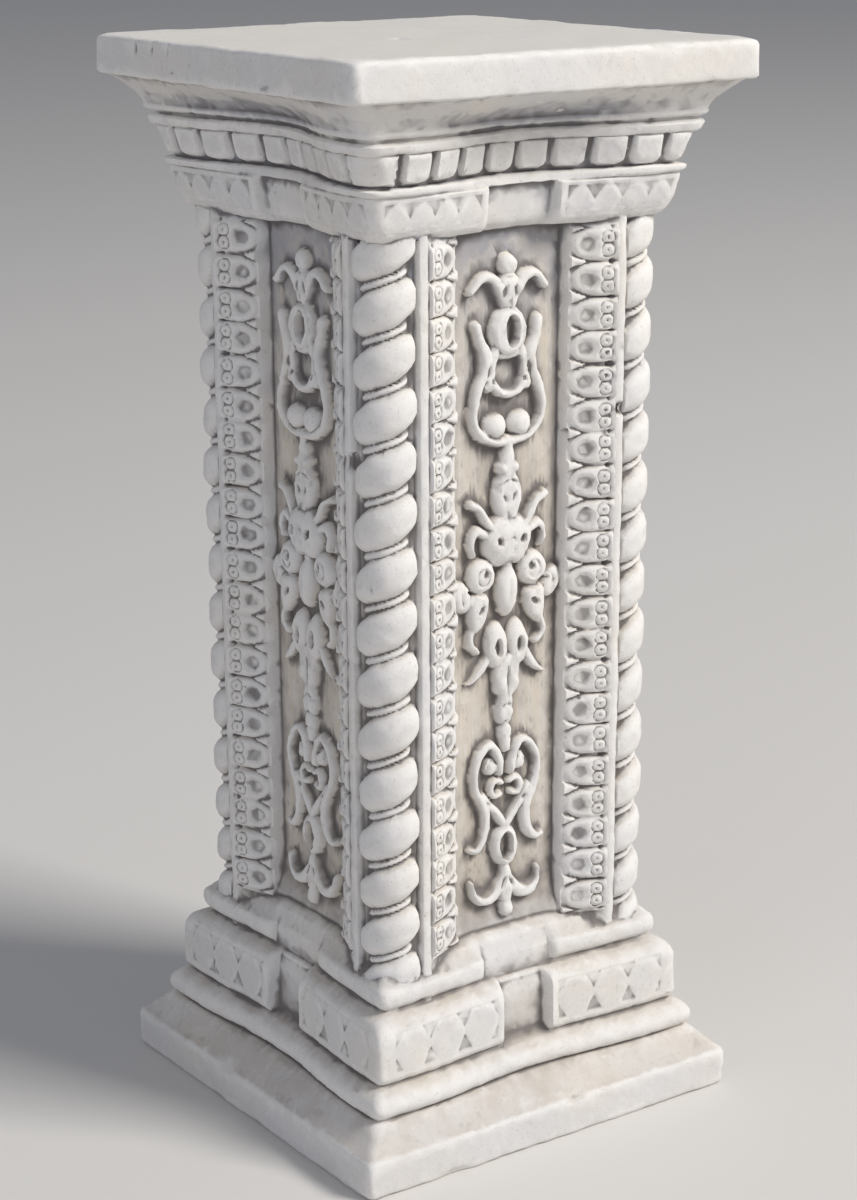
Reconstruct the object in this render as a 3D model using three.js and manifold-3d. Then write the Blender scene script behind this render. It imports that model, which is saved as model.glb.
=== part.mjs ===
// A square pillar of cast stone, 765 mm tall: a stepped base, a shaft with a twisted rope in each
// corner and a carved panel on each side, and a moulded capital under a plain square slab.
// Millimetres, +Z up, origin at the middle of the underside. A side is drawn once, as the one that
// faces -Y, and turned about the axis for the other three.

import * as THREE from "three";
import { mergeVertices } from "three/addons/utils/BufferGeometryUtils.js";
import Module from "manifold-3d";

const wasm = await Module();
wasm.setup();

// Driving dimensions: heights above the floor, and half widths from the axis
const HEIGHT = 765;
const SLAB_HALF = 165;
const SLAB_LOW = 737;
const DENTIL_LOW = 682;
const DENTIL_HIGH = 703;
const CAPITAL_LOW = 644;
const CAPITAL_BLOCK_HALF = 128;
const SHAFT_LOW = 118;
const SHAFT_HIGH = 660;
const SHAFT_HALF = 119;
const FOOT_HIGH = 149;
const TOP_STEP_HIGH = 131;
const TOP_STEP_LOW = 118;
const TOP_STEP_HALF = 121;
const BLOCK_HIGH = 112;
const BLOCK_LOW = 67;
const BLOCK_HALF = 132;
const STEP_LOW = 46;
const STEP_HALF = 140.5;
const BASE_SLAB_HIGH = 29;
const BASE_HALF = 160;

// Sides of the mouldings: how wide their inward curve is, the gaps between blocks, the round corners
const SIDE_COUNT = 4;
const BOW_REACH = 108;
const BASE_GAP_HALF = 20;
const TOP_STEP_GAP_HALF = 31;
const CAPITAL_GAP_HALF = 28;
const CORNER_ROUND = 7;
const COURSE_ROUND = 12;
const CORNER_KEY = 200;
const SIDE_KEY = 1000;
const UP = new THREE.Vector3(0, 0, 1);

// Plan of one side of the shaft
const FILLET_OUTER = 86;
const FILLET_INNER = 78;
const BAND_INNER = 47;
const BAND_DEPTH = 14;
const PANEL_HALF = 45;
const PANEL_DEPTH = 24;
const PANEL_FACE = SHAFT_HALF - PANEL_DEPTH;
const SHAFT_SPREAD = 0.03;

// Rope in each corner, from inside the base to inside the capital
const ROPE_AXIS = 96.3;
const ROPE_RADIUS = 23.2;
const ROPE_GROOVE = 4.6;
const ROPE_PITCH = 36;
const ROPE_LOW = 113.1;
const ROPE_TURNS = 15;
const ROPE_SLANT = 1;
const ROPE_COLUMNS = 5;
const ROPE_SWING = THREE.MathUtils.degToRad(75);

// Leaf band beside each panel
const LEAF_COUNT = 21;
const LEAF_LOW = 146;
const LEAF_HIGH = 641;
const LEAF_RISE = 3.2;
const PLAIN_ROWS = 6;

// Dentils under the slab
const DENTIL_COUNT = 9;
const DENTIL_PITCH = 27;
const DENTIL_FIRST = -97;
const DENTIL_WIDTH = 21.5;
const DENTIL_HALF = CAPITAL_BLOCK_HALF + 4;
const DENTIL_BOW = 23;
const DENTIL_LEAN = 0.24;
const DENTIL_ROOT = 12;
const DENTIL_GAP = 0.8;

// Ornament on the panels
const RELIEF = 8.5;
const RELIEF_ROOT = 2;
const BOSS_SIDES = 5;

// Rings of as many points each, turning counter-clockwise about the way they follow each other
function loft(rings, capFaces = fan) {
  const size = rings[0].length;
  const index = [];
  for (let level = 0; level + 1 < rings.length; level++) {
    for (let i = 0; i < size; i++) {
      const a = level * size + i;
      const b = level * size + ((i + 1) % size);
      index.push(a, b, b + size, a, b + size, a + size);
    }
  }
  const end = (rings.length - 1) * size;
  for (const [a, b, c] of capFaces(rings[0])) index.push(a, c, b);
  for (const [a, b, c] of capFaces(rings.at(-1))) index.push(end + a, end + b, end + c);
  return indexed(
    rings.flat().flatMap((p) => [p.x, p.y, p.z]),
    index,
  );
}

const fan = (ring) => ring.slice(2).map((_, i) => [0, i + 1, i + 2]);

function indexed(positions, index) {
  const geometry = new THREE.BufferGeometry();
  geometry.setAttribute("position", new THREE.Float32BufferAttribute(positions, 3));
  geometry.setIndex(index);
  return geometry;
}

// Triangles between two neighbouring rows of points, taken in the order of their key
function stitch(left, right, key, index) {
  let [i, j] = [0, 0];
  while (i + 1 < left.length || j + 1 < right.length) {
    const leftNext = i + 1 < left.length ? left[i + 1][key] : Infinity;
    const rightNext = j + 1 < right.length ? right[j + 1][key] : Infinity;
    if (leftNext <= rightNext) {
      index.push(left[i].id, right[j].id, left[i + 1].id);
      i++;
    } else {
      index.push(left[i].id, right[j].id, right[j + 1].id);
      j++;
    }
  }
}

// Numbers the points of all rows and lists their coordinates
function numbered(rows) {
  const points = rows.flat();
  points.forEach((p, id) => (p.id = id));
  return points.flatMap((p) => [...p.point]);
}

// The two flat ends of a solid, from the rings of points round its foot and its head
function closeEnds(foot, head, index) {
  for (const [a, b, c] of planFaces(foot)) index.push(foot[a].id, foot[c].id, foot[b].id);
  for (const [a, b, c] of planFaces(head)) index.push(head[a].id, head[b].id, head[c].id);
}

function planFaces(ring) {
  const outline = ring.map(({ point }) => new THREE.Vector2(point.x, point.y));
  return THREE.ShapeUtils.triangulateShape(outline, []);
}

// How far a bowed side lies in from the straight line between its corners
function bowAt(x, bow) {
  const reach = Math.min(Math.abs(x) / BOW_REACH, 1);
  return (bow * (1 + Math.cos(Math.PI * reach))) / 2;
}

// One level of a moulding: z, half width at the corners, bow of the sides, depth of the gap between
// the blocks and half the gap's width
function mouldingRing([z, half, bow, gap, gapHalf], round) {
  const wall = 1.2;
  const bowed = [-76, -38, 0, 38, 76].map((x) => [x, 0]);
  const gapWall = [-66, -gapHalf - wall, wall - gapHalf].map((x, i) => [x, i > 1 ? gap : 0]);
  const gapped = [...gapWall, ...gapWall.map(([x, depth]) => [-x, depth]).reverse()];
  const straight = bow ? bowed : [];
  const stations = gap ? gapped : straight;
  const side = [
    [round - half, -half, -CORNER_KEY],
    ...stations.map(([x, depth]) => [x, bowAt(x, bow) + depth - half, x]),
    [half - round, -half, CORNER_KEY],
    [half - 0.29 * round, 0.29 * round - half, 2 * CORNER_KEY],
  ];
  return Array.from({ length: SIDE_COUNT }, (_, i) =>
    side.map(([x, y, along]) => {
      const point = new THREE.Vector3(x, y, z).applyAxisAngle(UP, (i * Math.PI) / 2);
      return { point, along: along + i * SIDE_KEY };
    }),
  ).flat();
}

function moulding(rings) {
  const positions = numbered(rings);
  const index = [];
  const closed = rings.map((ring) => [...ring, { ...ring[0], along: ring[0].along + SIDE_COUNT * SIDE_KEY }]);
  closed.slice(1).forEach((upper, i) => stitch(upper, closed[i], "along", index));
  closeEnds(rings[0], rings.at(-1), index);
  return indexed(positions, index);
}

// Wide slab with a sloping top, rounded step, corner blocks, thin top step and the shaft's foot
function base() {
  const levels = [
    [0, BASE_HALF - 2, 0],
    [3, BASE_HALF, 0],
    [BASE_SLAB_HIGH - 4, BASE_HALF, 0],
    [BASE_SLAB_HIGH, BASE_HALF - 2.5, 0],
    [BASE_SLAB_HIGH + 9, BASE_HALF - 10, 2],
    [STEP_LOW - 1, STEP_HALF - 2, 7],
    [STEP_LOW + 5, STEP_HALF, 8],
    [STEP_LOW + 12, STEP_HALF - 1, 8],
    [STEP_LOW + 18, STEP_HALF - 5.5, 8],
    [BLOCK_LOW, BLOCK_HALF - 1.5, 7],
    [BLOCK_LOW + 3, BLOCK_HALF, 6, 10, BASE_GAP_HALF],
    [BLOCK_HIGH - 5, BLOCK_HALF - 1, 6, 9, BASE_GAP_HALF],
    [BLOCK_HIGH, BLOCK_HALF - 5, 6, 5, BASE_GAP_HALF],
    [BLOCK_HIGH + 2, TOP_STEP_HALF - 3, 6],
    [TOP_STEP_LOW, TOP_STEP_HALF - 1, 6, 4, TOP_STEP_GAP_HALF],
    [TOP_STEP_LOW + 5, TOP_STEP_HALF, 6, 5, TOP_STEP_GAP_HALF],
    [TOP_STEP_HIGH, TOP_STEP_HALF - 1.5, 6, 5, TOP_STEP_GAP_HALF],
    [TOP_STEP_HIGH + 5, TOP_STEP_HALF - 4, 5],
    [TOP_STEP_HIGH + 11, TOP_STEP_HALF - 10, 2],
    [FOOT_HIGH, PANEL_FACE - 0.5, 0],
  ];
  return moulding(levels.map((level) => mouldingRing(level, CORNER_ROUND)));
}

// Corner blocks, a course for the dentils between fillets, a flare and the top slab
function capital() {
  const course = [
    [CAPITAL_LOW, CAPITAL_BLOCK_HALF - 14, 8, 6, CAPITAL_GAP_HALF],
    [CAPITAL_LOW + 3, CAPITAL_BLOCK_HALF - 7, 9, 7, CAPITAL_GAP_HALF],
    [CAPITAL_LOW + 10, CAPITAL_BLOCK_HALF - 2.5, 10, 8, CAPITAL_GAP_HALF],
    [DENTIL_LOW - 6, CAPITAL_BLOCK_HALF, 13, 8, CAPITAL_GAP_HALF],
    [DENTIL_LOW - 5, CAPITAL_BLOCK_HALF + 3, 20],
    [DENTIL_LOW - 1, CAPITAL_BLOCK_HALF + 3.5, 21],
    [DENTIL_LOW, CAPITAL_BLOCK_HALF - 2.5, 22],
    [DENTIL_HIGH, CAPITAL_BLOCK_HALF + 1, 22],
    [DENTIL_HIGH, CAPITAL_BLOCK_HALF + 9.5, 25],
    [DENTIL_HIGH + 7, CAPITAL_BLOCK_HALF + 11, 25],
    [DENTIL_HIGH + 9, CAPITAL_BLOCK_HALF + 8.5, 25],
    [DENTIL_HIGH + 11, CAPITAL_BLOCK_HALF + 12.5, 25],
    [DENTIL_HIGH + 14, CAPITAL_BLOCK_HALF + 13, 25],
    [DENTIL_HIGH + 23, CAPITAL_BLOCK_HALF + 19, 17],
  ];
  const slab = [
    [SLAB_LOW, SLAB_HALF - 3.5, 0],
    [SLAB_LOW + 4, SLAB_HALF, 0],
    [HEIGHT - 4, SLAB_HALF, 0],
    [HEIGHT - 1, SLAB_HALF - 1.5, 0],
    [HEIGHT, SLAB_HALF - 4, 0],
  ];
  return moulding([
    ...course.map((level) => mouldingRing(level, COURSE_ROUND)),
    ...slab.map((level) => mouldingRing(level, CORNER_ROUND)),
  ]);
}

// The shaft and all that is on it are a little wider at the top than at the foot
function spread(geometry) {
  const position = geometry.attributes.position;
  for (let i = 0; i < position.count; i++) {
    const scale = 1 + SHAFT_SPREAD * (position.getZ(i) / HEIGHT - 0.5);
    position.setX(i, position.getX(i) * scale);
    position.setY(i, position.getY(i) * scale);
  }
  return geometry;
}

// A vertical row of points of the shaft's surface: plan position by height, at the given heights.
// turn is how much of a turn about its rope a row lies, so that rows of a rope join along the groove
function chain(heights, plan, turn = 0) {
  return heights.map((z) => {
    const [x, y] = plan(z);
    return { point: new THREE.Vector3(x, y, z), level: z, strand: z - turn * ROPE_PITCH };
  });
}

function evenHeights(low, high, count) {
  const inner = Array.from({ length: count + 1 }, (_, i) => THREE.MathUtils.lerp(low, high, i / count));
  return [SHAFT_LOW, ...inner.filter((z) => z > SHAFT_LOW && z < SHAFT_HIGH), SHAFT_HIGH];
}

// The rope at the left end of a side: a groove, then a round lobe, for each turn
function ropeChains() {
  const lobe = [
    { share: 0, depth: ROPE_GROOVE },
    { share: 0.24, depth: 0.4 },
    { share: 0.62, depth: 0 },
    { share: 1, depth: ROPE_GROOVE },
  ];
  const depthAt = (share) => {
    const next = lobe.findIndex((knot) => knot.share > share);
    const [from, to] = [lobe[next - 1], lobe[next]];
    const part = (share - from.share) / (to.share - from.share);
    return THREE.MathUtils.lerp(from.depth, to.depth, part);
  };
  return Array.from({ length: ROPE_COLUMNS }, (_, i) => {
    const swing = THREE.MathUtils.lerp(-ROPE_SWING, ROPE_SWING, i / (ROPE_COLUMNS - 1));
    const angle = 1.25 * Math.PI + swing;
    const turn = (ROPE_SLANT * swing) / (2 * Math.PI);
    const start = ROPE_LOW + turn * ROPE_PITCH;
    const heights = [SHAFT_LOW];
    for (let k = 0; k <= ROPE_TURNS; k++) {
      for (const { share } of lobe.slice(0, -1)) {
        const z = start + (k + share) * ROPE_PITCH;
        if (z > SHAFT_LOW + 1 && z < SHAFT_HIGH - 1) heights.push(z);
      }
    }
    heights.push(SHAFT_HIGH);
    const plan = (z) => {
      const share = THREE.MathUtils.euclideanModulo((z - start) / ROPE_PITCH + 1e-6, 1);
      const radius = ROPE_RADIUS - depthAt(share);
      return [radius * Math.cos(angle) - ROPE_AXIS, radius * Math.sin(angle) - ROPE_AXIS];
    };
    return chain(heights, plan, turn);
  });
}

// A row of tongues with their tips towards the panel, from the fillet to the panel's edge
function bandChains(hand) {
  const outer = new THREE.Vector2(FILLET_INNER, -SHAFT_HALF);
  const inner = new THREE.Vector2(BAND_INNER, BAND_DEPTH - SHAFT_HALF);
  const across = inner.clone().sub(outer);
  const normal = new THREE.Vector2(-across.y, across.x).normalize();
  const place = (share, rise) => {
    const p = outer.clone().addScaledVector(across, share).addScaledVector(normal, rise);
    return [hand * p.x, p.y];
  };
  const rows = evenHeights(LEAF_LOW, LEAF_HIGH, 2 * LEAF_COUNT);
  const isTip = (z) => Math.round(((z - LEAF_LOW) * 2 * LEAF_COUNT) / (LEAF_HIGH - LEAF_LOW)) % 2;
  const inLeaves = (z) => z > LEAF_LOW - 1 && z < LEAF_HIGH + 1;
  const ridge = (z) => place(0.5, inLeaves(z) && isTip(z) ? LEAF_RISE : 0);
  const tips = (z) => (inLeaves(z) && isTip(z) ? place(1, 1.6) : place(0.76, 0));
  return [chain(rows, ridge), chain(rows, tips)];
}

// Rope, fillet, band, sunk panel, band and fillet of one side, from left to right
function sideChains() {
  const coarse = evenHeights(LEAF_LOW, LEAF_HIGH, PLAIN_ROWS);
  const line = (x, y) => chain(coarse, () => [x, y]);
  const edge = (x, y) => chain([SHAFT_LOW, SHAFT_HIGH], () => [x, y]);
  const right = [
    edge(PANEL_HALF, -PANEL_FACE),
    ...bandChains(1).reverse(),
    line(FILLET_INNER, -SHAFT_HALF),
    line(FILLET_OUTER, -SHAFT_HALF),
  ];
  const left = [
    line(-FILLET_OUTER, -SHAFT_HALF),
    line(-FILLET_INNER, -SHAFT_HALF),
    ...bandChains(-1),
    edge(-PANEL_HALF, -PANEL_FACE),
  ];
  return [...ropeChains(), ...left, ...right];
}

function shaft() {
  const chains = [];
  for (let side = 0; side < SIDE_COUNT; side++) {
    const rows = sideChains();
    rows.flat().forEach(({ point }) => point.applyAxisAngle(UP, (side * Math.PI) / 2));
    chains.push(...rows);
  }
  const positions = numbered(chains);
  const index = [];
  const perSide = chains.length / SIDE_COUNT;
  chains.forEach((row, i) => {
    const key = i % perSide < ROPE_COLUMNS - 1 ? "strand" : "level";
    stitch(row, chains[(i + 1) % chains.length], key, index);
  });
  const foot = chains.map((row) => row[0]);
  const head = chains.map((row) => row.at(-1));
  closeEnds(foot, head, index);
  return spread(indexed(positions, index));
}

// Plain blocks along the bowed course. One corner of the side, by flip, is left without
function dentils(flip) {
  const high = DENTIL_HIGH - DENTIL_LOW + 1;
  const lean = new THREE.Matrix4().makeShear(0, 0, 0, 0, 0, -DENTIL_LEAN);
  return Array.from({ length: DENTIL_COUNT }, (_, i) => {
    const x = flip * (DENTIL_FIRST + i * DENTIL_PITCH);
    const slope = (bowAt(x + 1, DENTIL_BOW) - bowAt(x - 1, DENTIL_BOW)) / 2;
    const block = new THREE.BoxGeometry(DENTIL_WIDTH, DENTIL_ROOT, high);
    block.translate(0, DENTIL_ROOT / 2, high / 2 + DENTIL_GAP).applyMatrix4(lean);
    return block.rotateZ(Math.atan(slope)).translate(x, bowAt(x, DENTIL_BOW) - DENTIL_HALF, DENTIL_LOW);
  });
}

// A low dome on the panel, centred at x and z
function boss(x, z, halfWidth, halfHeight, rise = RELIEF) {
  const rings = [
    { size: 1, out: -RELIEF_ROOT },
    { size: 0.6, out: rise },
  ].map(({ size, out }) =>
    Array.from({ length: BOSS_SIDES }, (_, i) => {
      const angle = ((i + 0.5) * 2 * Math.PI) / BOSS_SIDES;
      return new THREE.Vector3(
        halfWidth * size * Math.cos(angle),
        halfHeight * size * Math.sin(angle),
        out,
      );
    }),
  );
  return loft(rings).rotateX(Math.PI / 2).translate(x, -PANEL_FACE, z);
}

// A ridge along a smooth curve through points x, z on the panel
function stroke(points, halfWidth, steps, rise = RELIEF) {
  const section = [
    [-RELIEF_ROOT, -halfWidth],
    [rise, 0],
    [-RELIEF_ROOT, halfWidth],
  ];
  const curve = new THREE.CatmullRomCurve3(points.map(([x, z]) => new THREE.Vector3(x, 0, z)));
  const rings = Array.from({ length: steps + 1 }, (_, step) => {
    const middle = curve.getPointAt(step / steps);
    const way = curve.getTangentAt(step / steps);
    return section.map(
      ([out, side]) =>
        new THREE.Vector3(middle.x + side * way.z, -PANEL_FACE - out, middle.z - side * way.x),
    );
  });
  return loft(rings);
}

// An upright oval ring on the panel
function ring(z, halfWidth, halfHeight) {
  const loop = new THREE.TorusGeometry(1, 0.34, 3, 8).scale(halfWidth / 1.34, halfHeight / 1.34, 16);
  return loop.rotateX(Math.PI / 2).translate(0, -PANEL_FACE, z);
}

const mirrored = (make, points, ...rest) =>
  [1, -1].map((hand) => make(points.map(([x, z]) => [hand * x, z]), ...rest));

const pair = (x, ...rest) => [boss(x, ...rest), boss(-x, ...rest)];

// The panel's ornament from the top: palmette, ring and lyre, urn in scrolls, lyre, ring and palmette
function ornament() {
  const parts = [
    boss(0, 607, 8, 19),
    ...mirrored(stroke, [[4, 596], [17, 611], [31, 605]], 4.4, 2),
    ring(575, 14.5, 18),
    ...mirrored(stroke, [[24, 577], [19, 556], [28, 522], [3, 501]], 4.6, 3),
    ...pair(10, 512, 9, 9),
    boss(0, 473, 10.5, 28),
    boss(0, 430, 21, 20, RELIEF + 3),
    ...pair(24, 396, 12, 23),
    boss(0, 394, 9.5, 20, RELIEF + 2),
    ...pair(8.5, 355, 9, 17),
    boss(0, 316, 8, 24),
    ...mirrored(stroke, [[5, 270], [22, 276], [17, 228], [25, 211]], 4, 3),
    ring(205, 12, 17),
    boss(0, 176, 7, 15),
    ...mirrored(stroke, [[3, 184], [16, 172], [29, 179]], 4.4, 2),
  ];
  return parts.map(spread);
}

// Everything that stands on one side, before it is turned to its place
function sideParts(side) {
  return [
    ...dentils(side % 2 ? -1 : 1),
    ...ornament(),
  ].map((geometry) => geometry.rotateZ((side * Math.PI) / 2));
}

// A closed geometry as a solid that can be joined
function solid(geometry) {
  const plain = geometry.index ? geometry.toNonIndexed() : geometry.clone();
  plain.deleteAttribute("normal");
  plain.deleteAttribute("uv");
  const merged = mergeVertices(plain, 1e-3);
  return new wasm.Manifold(
    new wasm.Mesh({
      numProp: 3,
      vertProperties: new Float32Array(merged.attributes.position.array),
      triVerts: new Uint32Array(merged.index.array),
    }),
  );
}

function join(solids) {
  if (solids.length === 1) return solids[0];
  const middle = Math.ceil(solids.length / 2);
  return join(solids.slice(0, middle)).add(join(solids.slice(middle)));
}

function pillarGeometry() {
  const parts = [base(), shaft(), capital()];
  for (let side = 0; side < SIDE_COUNT; side++) parts.push(...sideParts(side));
  const mesh = join(parts.map(solid)).getMesh();
  const geometry = indexed(Array.from(mesh.vertProperties), Array.from(mesh.triVerts));
  geometry.computeVertexNormals();
  return geometry;
}

const castStone = new THREE.MeshStandardMaterial({ color: 0xcfcac4, roughness: 0.9, metalness: 0 });

const pillar = new THREE.Mesh(pillarGeometry(), castStone);
pillar.name = "pillar";

const group = new THREE.Group();
group.add(pillar);

export default group;
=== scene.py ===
import math

import bpy
import numpy as np
from mathutils import Matrix


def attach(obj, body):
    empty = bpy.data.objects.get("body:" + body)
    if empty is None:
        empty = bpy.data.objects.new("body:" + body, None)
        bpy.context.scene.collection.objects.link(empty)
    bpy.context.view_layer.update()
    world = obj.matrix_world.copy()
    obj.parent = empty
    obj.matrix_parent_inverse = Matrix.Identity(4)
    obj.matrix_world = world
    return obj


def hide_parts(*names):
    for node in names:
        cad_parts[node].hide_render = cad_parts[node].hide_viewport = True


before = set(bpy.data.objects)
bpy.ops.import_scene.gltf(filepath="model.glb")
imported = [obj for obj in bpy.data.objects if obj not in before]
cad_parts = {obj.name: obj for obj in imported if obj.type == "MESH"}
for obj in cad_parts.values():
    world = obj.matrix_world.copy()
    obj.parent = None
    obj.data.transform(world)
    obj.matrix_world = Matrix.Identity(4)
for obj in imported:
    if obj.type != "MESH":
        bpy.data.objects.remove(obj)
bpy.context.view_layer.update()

# Sizes in mm. Heights above the floor and half widths from the axis, as in the solid.
HEIGHT = 765.0
SLAB_HALF = 165.0
CAPITAL_LOW = 644.0
SHAFT_HIGH = 660.0
SHAFT_HALF = 119.0
SHAFT_SPREAD = 0.03
PANEL_FACE = 95.0
PANEL_HALF = 45.0
PANEL_RIM = 104.6
BAND_INNER = 47.0
BAND_DEPTH = 14.0
FILLET_INNER = 78.0
ROPE_AXIS = 96.3
ROPE_RADIUS = 23.5
ROPE_PITCH = 36.0
ROPE_START = 113.1
ROPE_SLANT = 1.0
ROPE_SWING = math.radians(68)
LEAF_LOW = 146.0
LEAF_COUNT = 21
LEAF_PITCH = 495.0 / LEAF_COUNT
DENTIL_LOW = 682.0
DENTIL_HIGH = 703.0
DENTIL_PITCH = 27.0
DENTIL_FIRST = -97.0
DENTIL_COUNT = 9
DENTIL_HALF = 10.9
DENTIL_RISE = 5.2
BOW_REACH = 108.0
TOP_PIT = (-29.7, -15.4)
FLOOR_REACH_M = 40

# Fineness of the mesh: mm between rows, and triangles in the end
STEP = 1.15
TRIANGLES = 196000

# Levels of the mouldings: z, half width, bow of the sides, depth and half width of the gap between
# the blocks, radius of the corners in plan
BASE = [
    (0, 157.5, 0, 0, 20, 5), (1.2, 159, 0, 0, 20, 5), (4, 160, 0, 0, 20, 5), (25, 160, 0, 0, 20, 5),
    (27.8, 159.2, 0, 0, 20, 5), (29.3, 157, 0, 0, 20, 5), (33, 153, 0.5, 0, 20, 5),
    (38, 148.5, 3, 0, 20, 6), (43, 144, 6, 0, 20, 7), (45.2, 141, 7.5, 0, 20, 7),
    (46, 138.4, 8, 0, 20, 7), (46.8, 139.2, 8, 0, 20, 7), (49, 141.6, 8, 0, 20, 7),
    (53, 142.8, 8, 0, 20, 7), (57, 142.3, 8, 0, 20, 7), (60.5, 140.4, 8, 0, 20, 7),
    (63, 137.6, 8, 0, 20, 6), (64.8, 134.6, 7.5, 0, 20, 5), (66, 131.4, 7, 0, 20, 5),
    (67, 130, 6.5, 2, 20, 5), (68.4, 131, 6, 6, 20, 5), (70.5, 132.6, 6, 9.5, 20, 5),
    (73, 133.2, 6, 10, 20, 5), (102, 132.8, 6, 10, 20, 5), (106, 131.6, 6, 9.6, 20, 6),
    (109.4, 129.2, 6, 8, 20, 6), (111.6, 126.4, 6, 5, 20, 6), (113.2, 122.6, 6, 2.5, 20, 6),
    (114.2, 119.2, 6, 1, 20, 6), (115.4, 118, 6, 0, 31, 6), (116.6, 118.6, 6, 1, 31, 6),
    (118, 120.4, 6, 2.8, 31, 6), (120.4, 121.9, 6, 4.4, 31, 6), (124.5, 122.6, 6, 5, 31, 6),
    (129, 122.2, 6, 4.8, 31, 6), (130.8, 121.3, 6, 4.4, 31, 6), (132, 119.9, 6, 3.6, 31, 6),
    (133.2, 118.4, 5.5, 3, 31, 6), (137, 114.8, 4.5, 2, 31, 6), (141, 110.8, 3, 1, 31, 6),
    (145, 104, 1, 0.3, 31, 6), (149, 94, 0, 0, 31, 6),
]
CAPITAL = [
    (CAPITAL_LOW, 112, 8, 6, 28, 12), (644.7, 116, 8, 7, 28, 12), (646.3, 119.5, 9, 8, 28, 12),
    (649.5, 122.8, 9, 8, 28, 12), (654, 125.4, 10, 8, 28, 12), (660, 127.4, 11, 8, 28, 12),
    (672, 130, 12.5, 8, 28, 12), (674.4, 130.2, 13, 7, 28, 12), (675.4, 129.8, 15, 1, 28, 12),
    (676.2, 132.2, 18.5, 0, 28, 12), (678, 133.4, 20.5, 0, 28, 12), (680.4, 133.4, 21.5, 0, 28, 12),
    (681.4, 131.8, 22, 0, 28, 12), (682, 127.5, 22, 0, 28, 12), (702.6, 133.5, 24, 0, 28, 12),
    (703.4, 138.6, 24.5, 0, 28, 12), (704.4, 139.8, 25, 0, 28, 12), (709, 141.3, 25, 0, 28, 12),
    (710.4, 140.4, 25, 0, 28, 12), (711.6, 138.4, 25, 0, 28, 12), (713, 138.8, 25, 0, 28, 12),
    (714.4, 141.8, 25, 0, 28, 12), (716.2, 143, 25, 0, 28, 12), (718.4, 142.8, 25, 0, 28, 12),
    (721, 143.8, 23, 0, 28, 12), (725, 146.4, 18.5, 0, 28, 12), (729, 150.2, 12, 0, 28, 11),
    (733, 154, 5.5, 0, 28, 9), (736, 157.6, 1.5, 0, 28, 8), (737, 158.8, 0.5, 0, 28, 7),
    (737.4, 161.6, 0, 0, 28, 7), (738, 163.8, 0, 0, 28, 7), (739.4, 164.8, 0, 0, 28, 7),
    (741.5, 165, 0, 0, 28, 7),
    (760.5, 165, 0, 0, 28, 7), (762.8, 164.4, 0, 0, 28, 7), (764.2, 163, 0, 0, 28, 7),
    (765, 160.5, 0, 0, 28, 7),
]

# Dents, chips and cracks: centre, size each way, depth, which is below 0 for a spur
DENTS = (
    ((-118, -84, 497), (8, 7, 9), 5), ((82, -118, 515), (6, 8, 6), 6),
    ((-165, 103, 758), (3, 2.2, 7), 2.2), ((-165, 82, 759), (3, 1.8, 6), 2),
    ((-165, 61, 759), (3, 1.8, 6), 2), ((-46, -94, 173), (3, 3, 3), 3),
    ((165, -160, 8), (9, 9, 9), 3), ((-163, -60, 742), (5, 9, 4), 1.4),
    ((20, -160, 28), (11, 6, 4), 1.8), ((-88, -160, 2), (16, 6, 5), 1.6),
    ((-160, 30, 27), (6, 14, 5), 1.6), ((80, -162, 763), (18, 8, 4), 1.2),
    ((119, -118, 622), (3, 4, 3), -3.4), ((-118, -106, 414), (2.6, 2.2, 5.5), 1.3),
    ((-115, -110, 407), (2.2, 2.2, 5.5), 1.3), ((-111, -113.5, 400), (2.2, 2.6, 5), 1.2),
)

# Colours of the stone, and of the painted shade in its hollows and creases
PALE_COOL = (0.69, 0.68, 0.675, 1)
PALE_WARM = (0.725, 0.695, 0.65, 1)
DUST_LOW = (0.49, 0.42, 0.34, 1)
DUST_HIGH = (0.73, 0.69, 0.62, 1)
PANEL_SAND = (0.67, 0.60, 0.50, 1)
# Painted shade for the wide hollows: brown-grey low down; the blue-grey high one is partly patina and
# partly painted bluish reflection
HOLLOW_SHADE_LOW = (0.33, 0.295, 0.265, 1)
HOLLOW_SHADE_AND_PATINA_HIGH = (0.29, 0.30, 0.355, 1)
# Painted shade for the fine creases and drilled holes
CREASE_SHADE_DARK = (0.16, 0.145, 0.14, 1)
RAISED_PALE = (0.86, 0.84, 0.81, 1)
SPECK_BROWN = (0.33, 0.28, 0.25, 1)

# Hollowness stored on the mesh, which sets the painted shade: name, rounds of smoothing, depth in m that
# counts as 1
HOLLOWS = (("hollow_near", 4, 0.0006), ("hollow_far", 45, 0.0021))
WIDE_EDGE_M = 0.0024

# The photograph's camera: angles in degrees, place in m, focal length and height in pixels
YAW, PITCH, ROLL = 35.204, 15.813, -0.28
EYE = (-1.0692, -1.5211, 0.8908)
FOCAL_PIXELS = 2672.3
PHOTO_PIXELS = 1200
SENSOR_MM = 36.0


def ease(t):
    """Smooth step from 0 to 1."""
    t = np.clip(t, 0, 1)
    return t * t * (3 - 2 * t)


def waves(x, y, z, size, seed):
    """Smooth unevenness from about -1 to 1, with lumps of that size."""
    count = 16
    rng = np.random.default_rng(seed)
    total = np.zeros(np.broadcast(x, y, z).shape)
    for _ in range(count):
        way = rng.normal(size=3)
        way *= 2 * math.pi * rng.uniform(0.6, 1.5) / (size * np.linalg.norm(way))
        total += np.sin(way[0] * x + way[1] * y + way[2] * z + rng.uniform(0, 2 * math.pi))
    return total / (1.4 * math.sqrt(count))


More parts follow.
